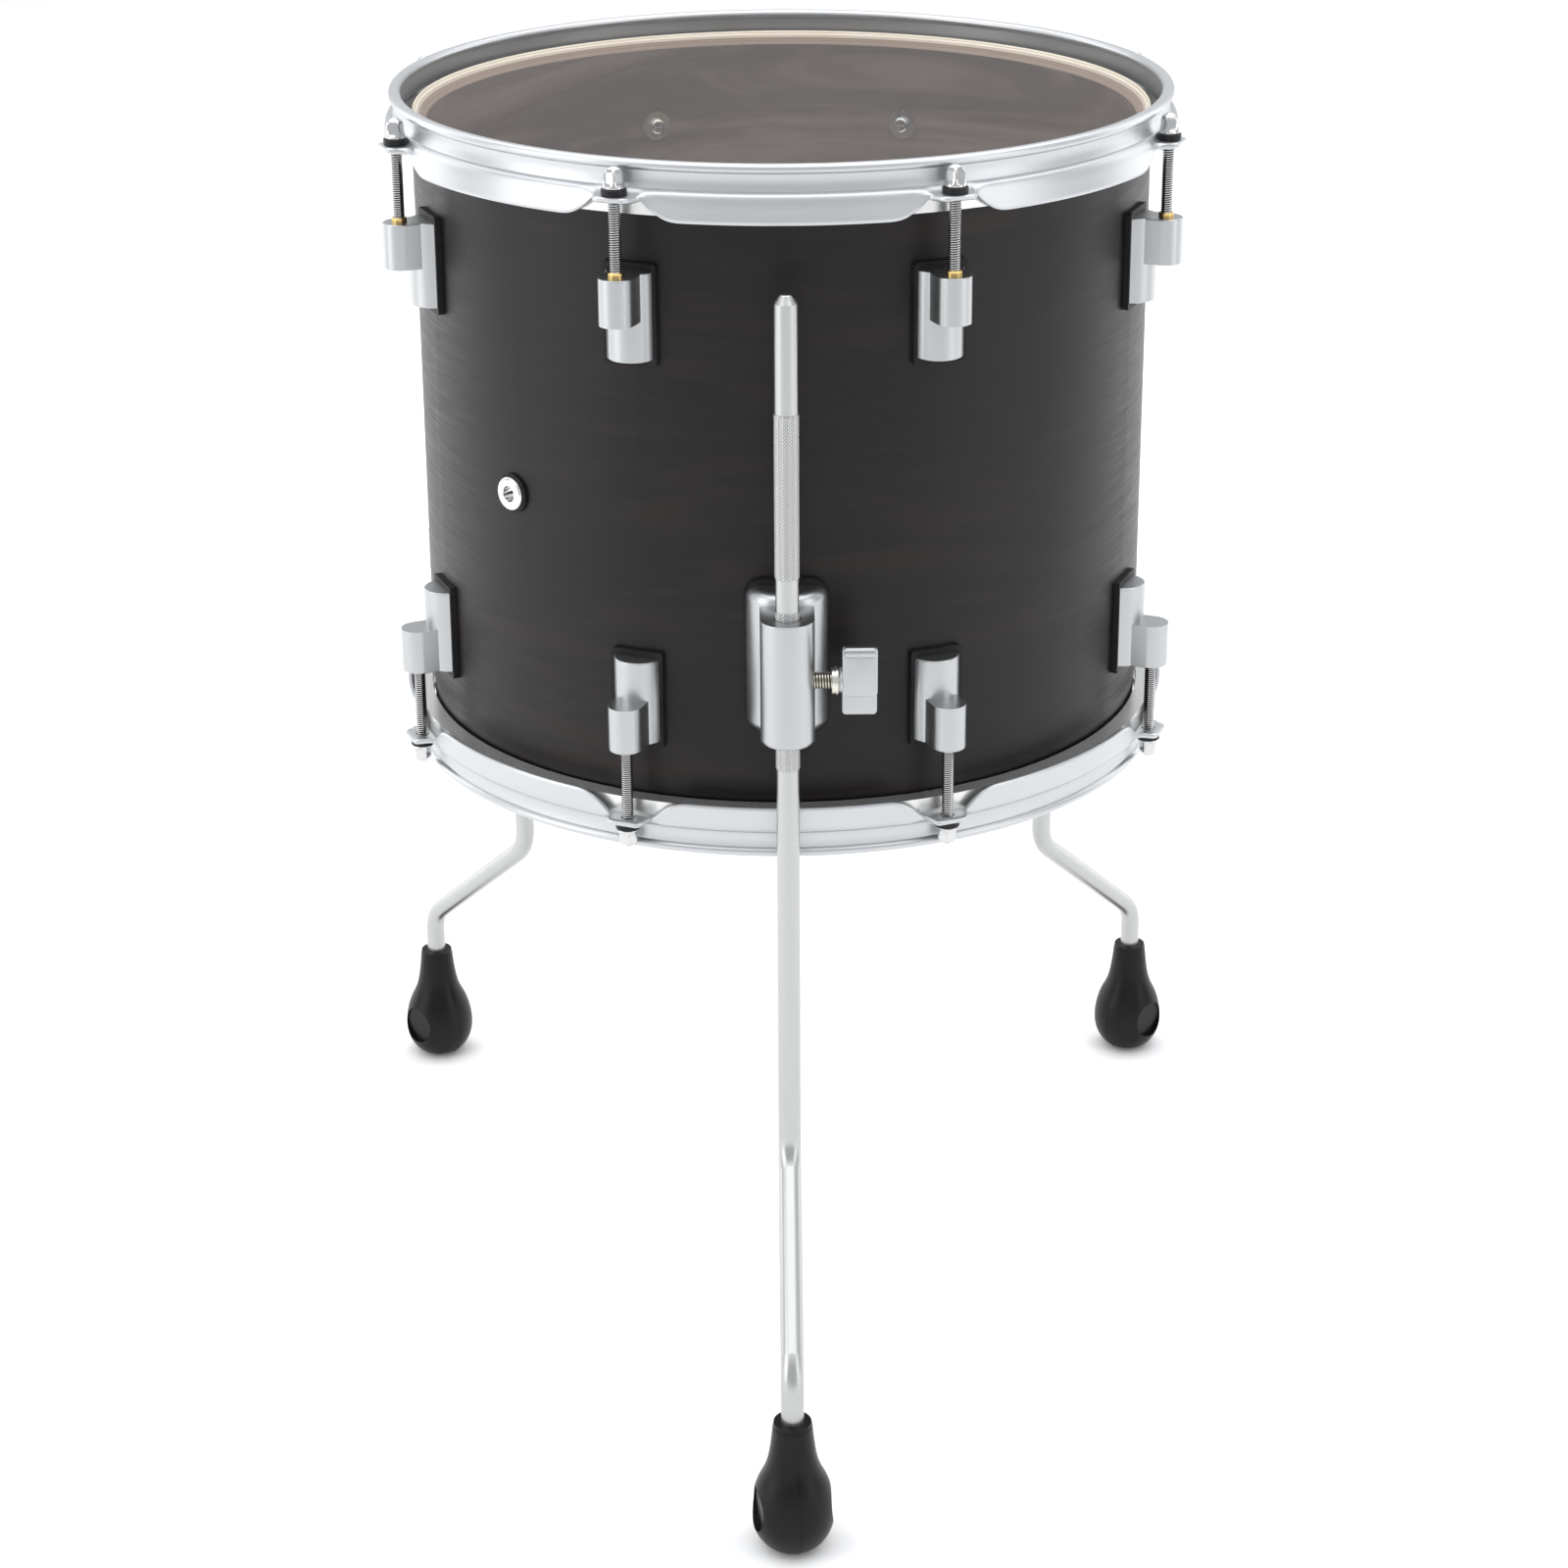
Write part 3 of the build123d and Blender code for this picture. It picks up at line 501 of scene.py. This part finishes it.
def offset_path(points, amount):
    """The same path, moved to its right by the sheet's thickness."""
    moved = []
    for i, p in enumerate(points):
        before = points[max(i - 1, 0)]
        after = points[min(i + 1, len(points) - 1)]
        along = (after - before).normalized()
        moved.append(p + Vector((-along.y, along.x)) * amount)
    return moved


def hoop_section(distance):
    """Closed outline of the hoop's pressed sheet, clockwise from the lip's inner side."""
    outer = hoop_outer(distance)
    inner = offset_path(outer, -SHEET)
    wall_in = WALL_OUT - SHEET
    # the inner face stays on or outside the wall's, and never climbs again
    tidy_inner = []
    for i, p in enumerate(inner):
        if i < 2:
            p = Vector((wall_in, p.y))
        tidy_inner.append(Vector((max(p.x, wall_in), p.y)))
    for i in range(1, len(tidy_inner)):
        if tidy_inner[i].y > tidy_inner[i - 1].y:
            tidy_inner[i].y = tidy_inner[i - 1].y
    edge_out, edge_in = outer[-1], tidy_inner[-1]
    across = (edge_out - edge_in) * 0.5
    ahead = Vector((across.y, -across.x))
    if ahead.dot(outer[-1] - outer[-2]) < 0:
        ahead = -ahead
    middle = (edge_out + edge_in) / 2
    edge = [edge_out, middle + across * EDGE_SIDE + ahead * EDGE_FLANK,
            middle + ahead * EDGE_ROUND, middle - across * EDGE_SIDE + ahead * EDGE_FLANK, edge_in]
    edge = [p - ahead * EDGE_ROUND for p in edge]
    flange = outer[:-1] + edge + list(reversed(tidy_inner[:-1]))
    lip_z, lip_r = LIP["height"], LIP["radius"]
    half_w, half_h = LIP["half_width"], LIP["half_height"]
    flat = half_w - half_h

    def around(start, end, side, count=8):
        turned = []
        for i in range(count + 1):
            a = math.radians(start + (end - start) * i / count)
            x = lip_r + side * flat + half_h * math.cos(a)
            turned.append(Vector((x, lip_z + half_h * math.sin(a))))
        return turned

    lip = around(LIP_ENDS[0], 90, -1) + around(90, LIP_ENDS[1], 1)
    wall_top = lip_z - half_h - WALL_TUCK
    wall_drop = SHOULDER + TURN_ABOVE - wall_top
    wall = [Vector((WALL_OUT - WALL_HOLLOW * math.sin(math.pi * t), wall_top + wall_drop * t))
            for t in (0.0, 0.25, 0.5, 0.75)]
    return lip + wall + flange


def hoop_mesh(name):
    rings = []
    radius = SHELL_RADIUS / MM + HOOP_MIDLINE
    half_span = radius * LUG_STEP / 2
    far_start = SWOOP_END + NEAR_MARGIN
    near_steps = HOOP_STEPS * NEAR_SHARE
    near = [far_start * i / near_steps for i in range(int(near_steps))]
    rest = HOOP_STEPS - len(near)
    far = [far_start + (half_span - far_start) * i / rest for i in range(rest)]
    distances = near + far
    for number in range(LUG_COUNT):
        centre = FIRST_LUG + number * LUG_STEP
        signed = [-half_span] + [-d for d in reversed(distances[1:])] + distances
        for s in signed:
            ring = []
            angle = centre + s / radius
            for p in hoop_section(abs(s)):
                ring.append(place(p.x * MM, angle, p.y * MM))
            rings.append(ring)
    bm = skin(rings, closed_length=True)
    return finish_mesh(bm, name, 40.0)


def cut_holes(obj):
    """The hoop's mesh with the rod holes cut through its ears."""
    cutter = bmesh.new()
    for number in range(LUG_COUNT):
        angle = FIRST_LUG + number * LUG_STEP
        centre = place(ROD_RADIUS_CIRCLE * MM, angle, (EAR_LEVEL - SHEET / 2) * MM)
        bmesh.ops.create_cone(
            cutter, cap_ends=True, segments=28, radius1=EAR_HOLE * MM, radius2=EAR_HOLE * MM,
            depth=HOLE_CUT * MM, matrix=Matrix.Translation(centre))
    mesh = bpy.data.meshes.new("hole_cutter")
    cutter.to_mesh(mesh)
    cutter.free()
    tool = bpy.data.objects.new("hole_cutter", mesh)
    bpy.context.scene.collection.objects.link(tool)
    modifier = obj.modifiers.new("rod_holes", "BOOLEAN")
    modifier.operation = "DIFFERENCE"
    modifier.object = tool
    modifier.solver = "EXACT"
    evaluated = obj.evaluated_get(bpy.context.evaluated_depsgraph_get())
    bm = bmesh.new()
    bm.from_mesh(evaluated.to_mesh())
    obj.modifiers.clear()
    bpy.data.objects.remove(tool)
    bpy.data.meshes.remove(mesh)
    return finish_mesh(bm, obj.data.name, 40.0)


def make_hoops():
    """One pressing, used upright at the top and turned over at the bottom."""
    raw = bpy.data.objects.new("hoop_blank", hoop_mesh("hoop"))
    bpy.context.scene.collection.objects.link(raw)
    mesh = cut_holes(raw)
    bpy.data.objects.remove(raw)
    top = mesh.copy()
    top.transform(Matrix.Translation((0, 0, MIDDLE)))
    piece("top_hoop_pressing", top, "drum", "satin_hoop", replaced=["top_hoop"])
    mesh.transform(Matrix.Translation((0, 0, MIDDLE)) @ Matrix.Diagonal((1, 1, -1, 1)))
    mesh.flip_normals()
    piece("bottom_hoop_pressing", mesh, "drum", "satin_hoop", replaced=["bottom_hoop"])


# ---- tension rods ----
ROD_CREST = 2.7 * MM
ROD_ROOT = 2.12 * MM
ROD_PITCH = 25.4 / 24 * MM
ROD_THREAD = 42.0 * MM            # length drawn with its thread, down from the collar
ROD_THREAD_TOP = -0.3 * MM
ROD_THREAD_OVERLAP = 0.4 * MM     # the plain end starts inside the thread
ROD_TIP = 1.5 * MM                # radius of the lower end, and the height of its chamfer
ROD_CHAMFER = 0.7 * MM
ROD_HEAD = 9.6 * MM               # from under the collar to the top of the key end
ROD_TURN_STEP = 0.35              # radians between one rod's key end and the next one's
KEY_HALF = 3.15                   # millimetres, half across the key's flats


def key_ring(half, corner, z, segments=40):
    """A rounded square: corner is 1 for a circle and 0 for a sharp square."""
    ring = []
    power = 2.0 + (1.0 - corner) * 10.0
    for i in range(segments):
        a = 2 * math.pi * (i + 0.5) / segments
        c, s = math.cos(a), math.sin(a)
        r = half / (abs(c) ** power + abs(s) ** power) ** (1 / power)
        ring.append(Vector((r * c * MM, r * s * MM, z * MM)))
    return ring


def rod_mesh(length):
    """Rod with its head up. The origin is under its collar."""
    # (half width, roundness, height) in millimetres: collar, neck, square key end, bullet nose
    head = (
        (2.9, 1.0, -0.6), (4.1, 1.0, -0.02), (4.7, 1.0, 0.15), (4.85, 1.0, 0.55),
        (4.75, 1.0, 0.95), (4.3, 0.9, 1.35), (3.75, 0.6, 1.9), (3.4, 0.35, 2.7),
        (KEY_HALF, 0.12, 3.9), (KEY_HALF, 0.1, 6.2), (3.02, 0.12, 7.0), (2.6, 0.2, 7.9),
        (1.9, 0.35, 8.75), (1.0, 0.7, 9.35), (0.35, 1.0, 9.58),
    )
    bm = skin([key_ring(*row) for row in head])
    threaded(bm, ROD_CREST, ROD_ROOT, ROD_PITCH, -ROD_THREAD, ROD_THREAD_TOP)
    end = ((ROD_TIP, -length), (ROD_ROOT, -length + ROD_CHAMFER),
           (ROD_ROOT, -ROD_THREAD + ROD_THREAD_OVERLAP))
    append_to(bm, skin([circle_ring(r, z, 20) for r, z in end]))
    return finish_mesh(bm, "rod", 38.0)


def make_rods():
    low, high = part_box("upper_rod_1")
    length = high.z - low.z - ROD_HEAD
    master = rod_mesh(length)
    # the second colour is painted shade in the thread's roots; none above the collar
    look = cut_metal("rod_chrome_thread", (0.63, 0.63, 0.63), (0.09, 0.09, 0.09), 0.10,
                     ROD_ROOT, ROD_CREST, plain_above=ROD_THREAD_TOP)
    for head in HEADS:
        for number in range(1, LUG_COUNT + 1):
            name = f"{head}_rod_{number}"
            low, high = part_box(name)
            x, y, _ = JOINTS[name + "_turn"]["pos_m"]
            spin = Matrix.Rotation(math.atan2(x, -y) + ROD_TURN_STEP * number, 4, "Z")
            if head == "upper":
                matrix = Matrix.Translation((x, y, high.z - ROD_HEAD)) @ spin
            else:
                upside_down = Matrix.Rotation(math.pi, 4, "X")
                matrix = Matrix.Translation((x, y, low.z + ROD_HEAD)) @ spin @ upside_down
            piece(name + "_threaded", master.copy(), name, "rod_chrome", look, [name], matrix)
    bpy.data.meshes.remove(master)


# ---- legs ----
KNURL_CORE = 5.30 * MM
KNURL_VALLEY = 5.41 * MM
KNURL_PEAK = 5.60 * MM
KNURL_AROUND = 44
KNURL_BANDS = {"upper": (-18.3, 57.3), "lower": (-109.1, -33.6)}   # above the shell's middle


def knurl_mesh(low, high):
    """A diamond knurl as a sleeve: peaks and hollows in turn, round and along the bar."""
    pitch = 2 * math.pi * KNURL_PEAK / KNURL_AROUND
    rows = int((high - low) / pitch / 2) * 2
    rings = [circle_ring(KNURL_CORE, low, KNURL_AROUND)]
    for row in range(rows + 1):
        ring = []
        z = low + (high - low) * row / rows
        for i in range(KNURL_AROUND):
            a = 2 * math.pi * i / KNURL_AROUND
            peak = (row + i) % 2 == 0 and 0 < row < rows
            r = KNURL_PEAK if peak else KNURL_VALLEY
            ring.append(Vector((r * math.cos(a), r * math.sin(a), z)))
        rings.append(ring)
    rings.append(circle_ring(KNURL_CORE, high, KNURL_AROUND))
    bm = skin(rings, closed_length=True)
    # only the bore keeps its quads
    bore = {f for f in bm.faces if all(v.co.xy.length < KNURL_CORE + 1e-6 for v in f.verts)}
    bmesh.ops.triangulate(bm, faces=[f for f in bm.faces if f not in bore])
    return finish_mesh(bm, "knurl", 12.0)


def make_knurls():
    # the second colour is painted shade in the hollows of the knurl
    look = cut_metal("knurled_leg_bar", (0.68, 0.685, 0.68), (0.38, 0.38, 0.38), 0.30,
                     KNURL_VALLEY, KNURL_PEAK)
    for side in LEG_ANGLES:
        x, y, _ = JOINTS[side + "_wing_turn"]["pos_m"]
        for band, (low, high) in KNURL_BANDS.items():
            mesh = knurl_mesh(low * MM, high * MM)
            matrix = Matrix.Translation((x, y, MIDDLE))
            piece(f"{side}_leg_{band}_knurl", mesh, side + "_leg", "satin_leg", look, matrix=matrix)


# ---- wing bolts ----
# Along +X from the leg's axis, with +Z up, at the front of the drum.
BOLT_CREST = 3.97 * MM
BOLT_ROOT = 3.30 * MM
BOLT_PITCH = 1.25 * MM
BOLT_FROM, BOLT_TO = 8.0, 24.0
HUB = ((22.5, 4.9), (22.55, 5.3), (23.6, 5.9), (24.5, 6.2),
       (25.3, 5.2), (27.0, 4.4), (38.2, 4.2), (39.0, 3.6))   # (distance, radius)
WING_X = (24.3, 40.0)
WING_Z = (-5.8, 17.3)
WING_FACES = (-5.8, -1.4)         # each wing's front and back, from the bolt's axis
WING_CORNER = 1.9
WING_SOFT = 0.75                  # rounding of a wing's rim
WING_BEAD = 2.6                   # half height of the bead along a wing's tip
BEAD_HALF_DEPTH = 2.3
BEAD_BACK = 1.3                   # from the wing's front to the bead's middle
BEAD_INSET = 0.7                  # at each end
BEAD_END = 1.6                    # length over which its ends round off


def wing_outline():
    """Rounded rectangle in X and Z, in millimetres."""
    points = []
    corners = ((WING_X[1], WING_Z[1], 0), (WING_X[0], WING_Z[1], 90),
               (WING_X[0], WING_Z[0], 180), (WING_X[1], WING_Z[0], 270))
    for x, z, start in corners:
        cx = x - math.copysign(WING_CORNER, x - sum(WING_X) / 2)
        cz = z - math.copysign(WING_CORNER, z - sum(WING_Z) / 2)
        for i in range(7):
            a = math.radians(start + 15 * i)
            points.append((cx + WING_CORNER * math.cos(a), cz + WING_CORNER * math.sin(a)))
    return points


def wing_part():
    """One wing: a flat paddle with softened rims and a raised bead along its tip."""
    outline = wing_outline()
    centre = (sum(WING_X) / 2, sum(WING_Z) / 2)
    front, back = WING_FACES

    def ring(inset, y):
        made = []
        for x, z in outline:
            dx, dz = x - centre[0], z - centre[1]
            sx = (abs(dx) - inset) / abs(dx) if abs(dx) > inset else 1.0
            sz = (abs(dz) - inset) / abs(dz) if abs(dz) > inset else 1.0
            made.append(Vector(((centre[0] + dx * sx) * MM, y * MM, (centre[1] + dz * sz) * MM)))
        return made

    soft = WING_SOFT
    rings = [ring(soft, front), ring(soft * 0.45, front + soft * 0.12),
             ring(soft * 0.12, front + soft * 0.45), ring(0.0, front + soft),
             ring(0.0, back - soft), ring(soft * 0.12, back - soft * 0.45),
             ring(soft * 0.45, back - soft * 0.12), ring(soft, back)]
    bm = skin(rings)
    bead = []
    steps = ((0.0, 0.55), (0.25, 0.86), (0.9, 1.0), (1.0, 1.0))   # (share of the end, size)
    length = WING_X[1] - WING_X[0] - 2 * BEAD_INSET
    ends = [(share * BEAD_END, size) for share, size in steps]
    stations = ends + [(length - x, size) for x, size in reversed(ends)]
    for x, size in stations:
        ring_points = []
        for i in range(20):
            a = 2 * math.pi * i / 20
            y = WING_FACES[0] + BEAD_BACK + BEAD_HALF_DEPTH * size * math.cos(a)
            z = WING_Z[1] - WING_BEAD + WING_BEAD * size * math.sin(a)
            ring_points.append(Vector(((WING_X[0] + BEAD_INSET + x) * MM, y * MM, z * MM)))
        bead.append(ring_points)
    append_to(bm, skin(bead))
    return bm


def wing_bolt_meshes():
    """The threaded bolt, and the cast head with its two wings."""
    to_x = Matrix.Rotation(math.pi / 2, 4, "Y")
    bolt = bmesh.new()
    threaded(bolt, BOLT_CREST, BOLT_ROOT, BOLT_PITCH, BOLT_FROM * MM, BOLT_TO * MM, 28)
    bolt_mesh = finish_mesh(bolt, "bolt", 38.0)
    bolt_mesh.transform(to_x)
    head = skin([circle_ring(r * MM, x * MM, 40) for x, r in HUB])
    bmesh.ops.transform(head, matrix=to_x, verts=head.verts)
    for turn in (0.0, math.pi):
        wing = wing_part()
        bmesh.ops.transform(wing, matrix=Matrix.Rotation(turn, 4, "X"), verts=wing.verts)
        append_to(head, wing)
    return bolt_mesh, finish_mesh(head, "wing_head", 34.0)


def make_wing_bolts():
    bolt, head = wing_bolt_meshes()
    # the second colour is painted shade in the thread's roots
    look = cut_metal("bolt_nickel", (0.70, 0.675, 0.62), (0.16, 0.135, 0.10), 0.16,
                     BOLT_ROOT, BOLT_CREST, "x")
    for side, angle in LEG_ANGLES.items():
        name = side + "_wing_bolt"
        pivot = Matrix.Translation(JOINTS[side + "_wing_turn"]["pos_m"])
        matrix = pivot @ Matrix.Rotation(angle, 4, "Z")
        piece(name + "_head", head.copy(), name, "satin_casting", replaced=[name], matrix=matrix)
        piece(name + "_thread", bolt.copy(), name, "satin_casting", look, matrix=matrix)
    bpy.data.meshes.remove(head)
    bpy.data.meshes.remove(bolt)


# ---- feet ----
FOOT_SEAM_TURN = {"front": math.radians(12), "right": 0.0, "left": 0.0}
FOOT_RADIUS = 290.5 * MM          # of the circle that the feet stand on
# (radius, height) in millimetres, from just inside the sole to the top of the neck
FOOT_OUTLINE = ((8.0, 0.62), (12.4, 2.2), (17.6, 9.0), (19.4, 19.5),
                (15.9, 35.0), (11.3, 47.0), (9.2, 62.0), (8.75, 65.3))
SEAM_HALF_WIDTH = 0.35 * MM
SEAM_CREST_HALF = 0.16 * MM
SEAM_PROUD = 0.154 * MM
SEAM_BURIED = 0.25 * MM


def foot_seam_mesh():
    """The thin flash line that a two-part mould leaves down the front and back of a foot."""
    curve = bpy.data.curves.new("seam_path", "CURVE")
    curve.dimensions = "3D"
    spline = curve.splines.new("BEZIER")
    spline.bezier_points.add(len(FOOT_OUTLINE) - 1)
    for point, (r, z) in zip(spline.bezier_points, FOOT_OUTLINE):
        point.co = (r * MM, 0, z * MM)
        point.handle_left_type = "AUTO"
        point.handle_right_type = "AUTO"
    spline.resolution_u = 8
    holder = bpy.data.objects.new("seam_path", curve)
    bpy.context.scene.collection.objects.link(holder)
    line = holder.to_mesh()
    path = [v.co.copy() for v in line.vertices]
    holder.to_mesh_clear()
    bpy.data.objects.remove(holder)
    bm = bmesh.new()
    for turn in (0.0, math.pi):
        rings = []
        for i, p in enumerate(path):
            along = (path[min(i + 1, len(path) - 1)] - path[max(i - 1, 0)]).normalized()
            out = Vector((along.z, 0, -along.x))
            side = Vector((0, 1, 0))
            base = p - out * SEAM_BURIED
            crest = p + out * SEAM_PROUD
            rings.append([base + side * SEAM_HALF_WIDTH, crest + side * SEAM_CREST_HALF,
                          crest - side * SEAM_CREST_HALF, base - side * SEAM_HALF_WIDTH])
        strip = skin(rings)
        aim = Matrix.Rotation(turn - math.pi / 2, 4, "Z")
        bmesh.ops.transform(strip, matrix=aim, verts=strip.verts)
        append_to(bm, strip)
    return finish_mesh(bm, "foot_seam", 50.0)


def make_foot_seams():
    master = foot_seam_mesh()
    for side, angle in LEG_ANGLES.items():
        low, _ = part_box(side + "_foot")
        mesh = master.copy()
        spot = place(FOOT_RADIUS, angle, low.z)
        turn = Matrix.Rotation(angle + FOOT_SEAM_TURN[side], 4, "Z")
        mesh.transform(Matrix.Translation(spot) @ turn)
        piece(side + "_foot_mould_seam", mesh, side + "_leg", "foot_rubber")
    bpy.data.meshes.remove(master)


# ---- stage, light and camera ----

def make_stage():
    bpy.ops.mesh.primitive_plane_add(size=60, location=(0, 0, 0))
    floor = bpy.context.object
    floor.name = "floor"
    paint = Paint("pale_floor", (0.93, 0.93, 0.93), 0.9)
    floor.data.materials.append(paint.material)


def area_light(name, place_at, aim, size, power):
    data = bpy.data.lights.new(name, "AREA")
    data.shape = "RECTANGLE"
    data.size, data.size_y = size
    data.energy = power
    lamp = bpy.data.objects.new(name, data)
    bpy.context.scene.collection.objects.link(lamp)
    lamp.location = place_at
    lamp.rotation_euler = (Vector(aim) - Vector(place_at)).to_track_quat("-Z", "Y").to_euler()


def make_lights():
    world = bpy.data.worlds.new("studio")
    world.use_nodes = True
    background = world.node_tree.nodes["Background"]
    background.inputs["Color"].default_value = (0.96, 0.975, 1.0, 1)
    background.inputs["Strength"].default_value = 0.72
    bpy.context.scene.world = world
    target = (0, 0, MIDDLE)
    area_light("overhead_softbox", (0.0, 0.6, 3.4), (0, 0.4, 0), (5.6, 5.6), 150)
    area_light("left_softbox", (-2.4, -1.0, 1.1), target, (1.5, 2.2), 19)
    area_light("right_softbox", (2.4, -1.4, 1.1), target, (1.2, 2.2), 11)
    area_light("left_rim_softbox", (-2.4, 1.5, 1.0), target, (1.8, 2.4), 20)
    area_light("right_rim_softbox", (2.4, 1.5, 1.0), target, (1.8, 2.4), 17)
    bpy.context.scene.view_settings.view_transform = "Standard"


CAMERA_DISTANCE = 1.6157          # metres from the drum's axis
CAMERA_RISE = 0.4840              # metres above the shell's middle
CAMERA_TILT = 20.45               # degrees down, and the next two in degrees too
CAMERA_AZIMUTH = -0.40
CAMERA_ROLL = -0.295
CAMERA_LENS = 77.98               # millimetres
CAMERA_SHIFT_Y = -0.10


def make_camera():
    data = bpy.data.cameras.new("camera")
    data.sensor_width = 36.0
    data.lens = CAMERA_LENS
    data.shift_y = CAMERA_SHIFT_Y
    camera = bpy.data.objects.new("camera", data)
    bpy.context.scene.collection.objects.link(camera)
    turn = math.radians(CAMERA_AZIMUTH)
    camera.location = place(CAMERA_DISTANCE, turn, MIDDLE + CAMERA_RISE)
    look = Matrix.Rotation(turn, 4, "Z") @ Matrix.Rotation(math.radians(90 - CAMERA_TILT), 4, "X")
    look = look @ Matrix.Rotation(math.radians(CAMERA_ROLL), 4, "Z")
    camera.rotation_euler = look.to_euler()
    bpy.context.scene.camera = camera


make_hoops()
make_rods()
make_knurls()
make_wing_bolts()
make_foot_seams()
make_stage()
make_lights()
make_camera()
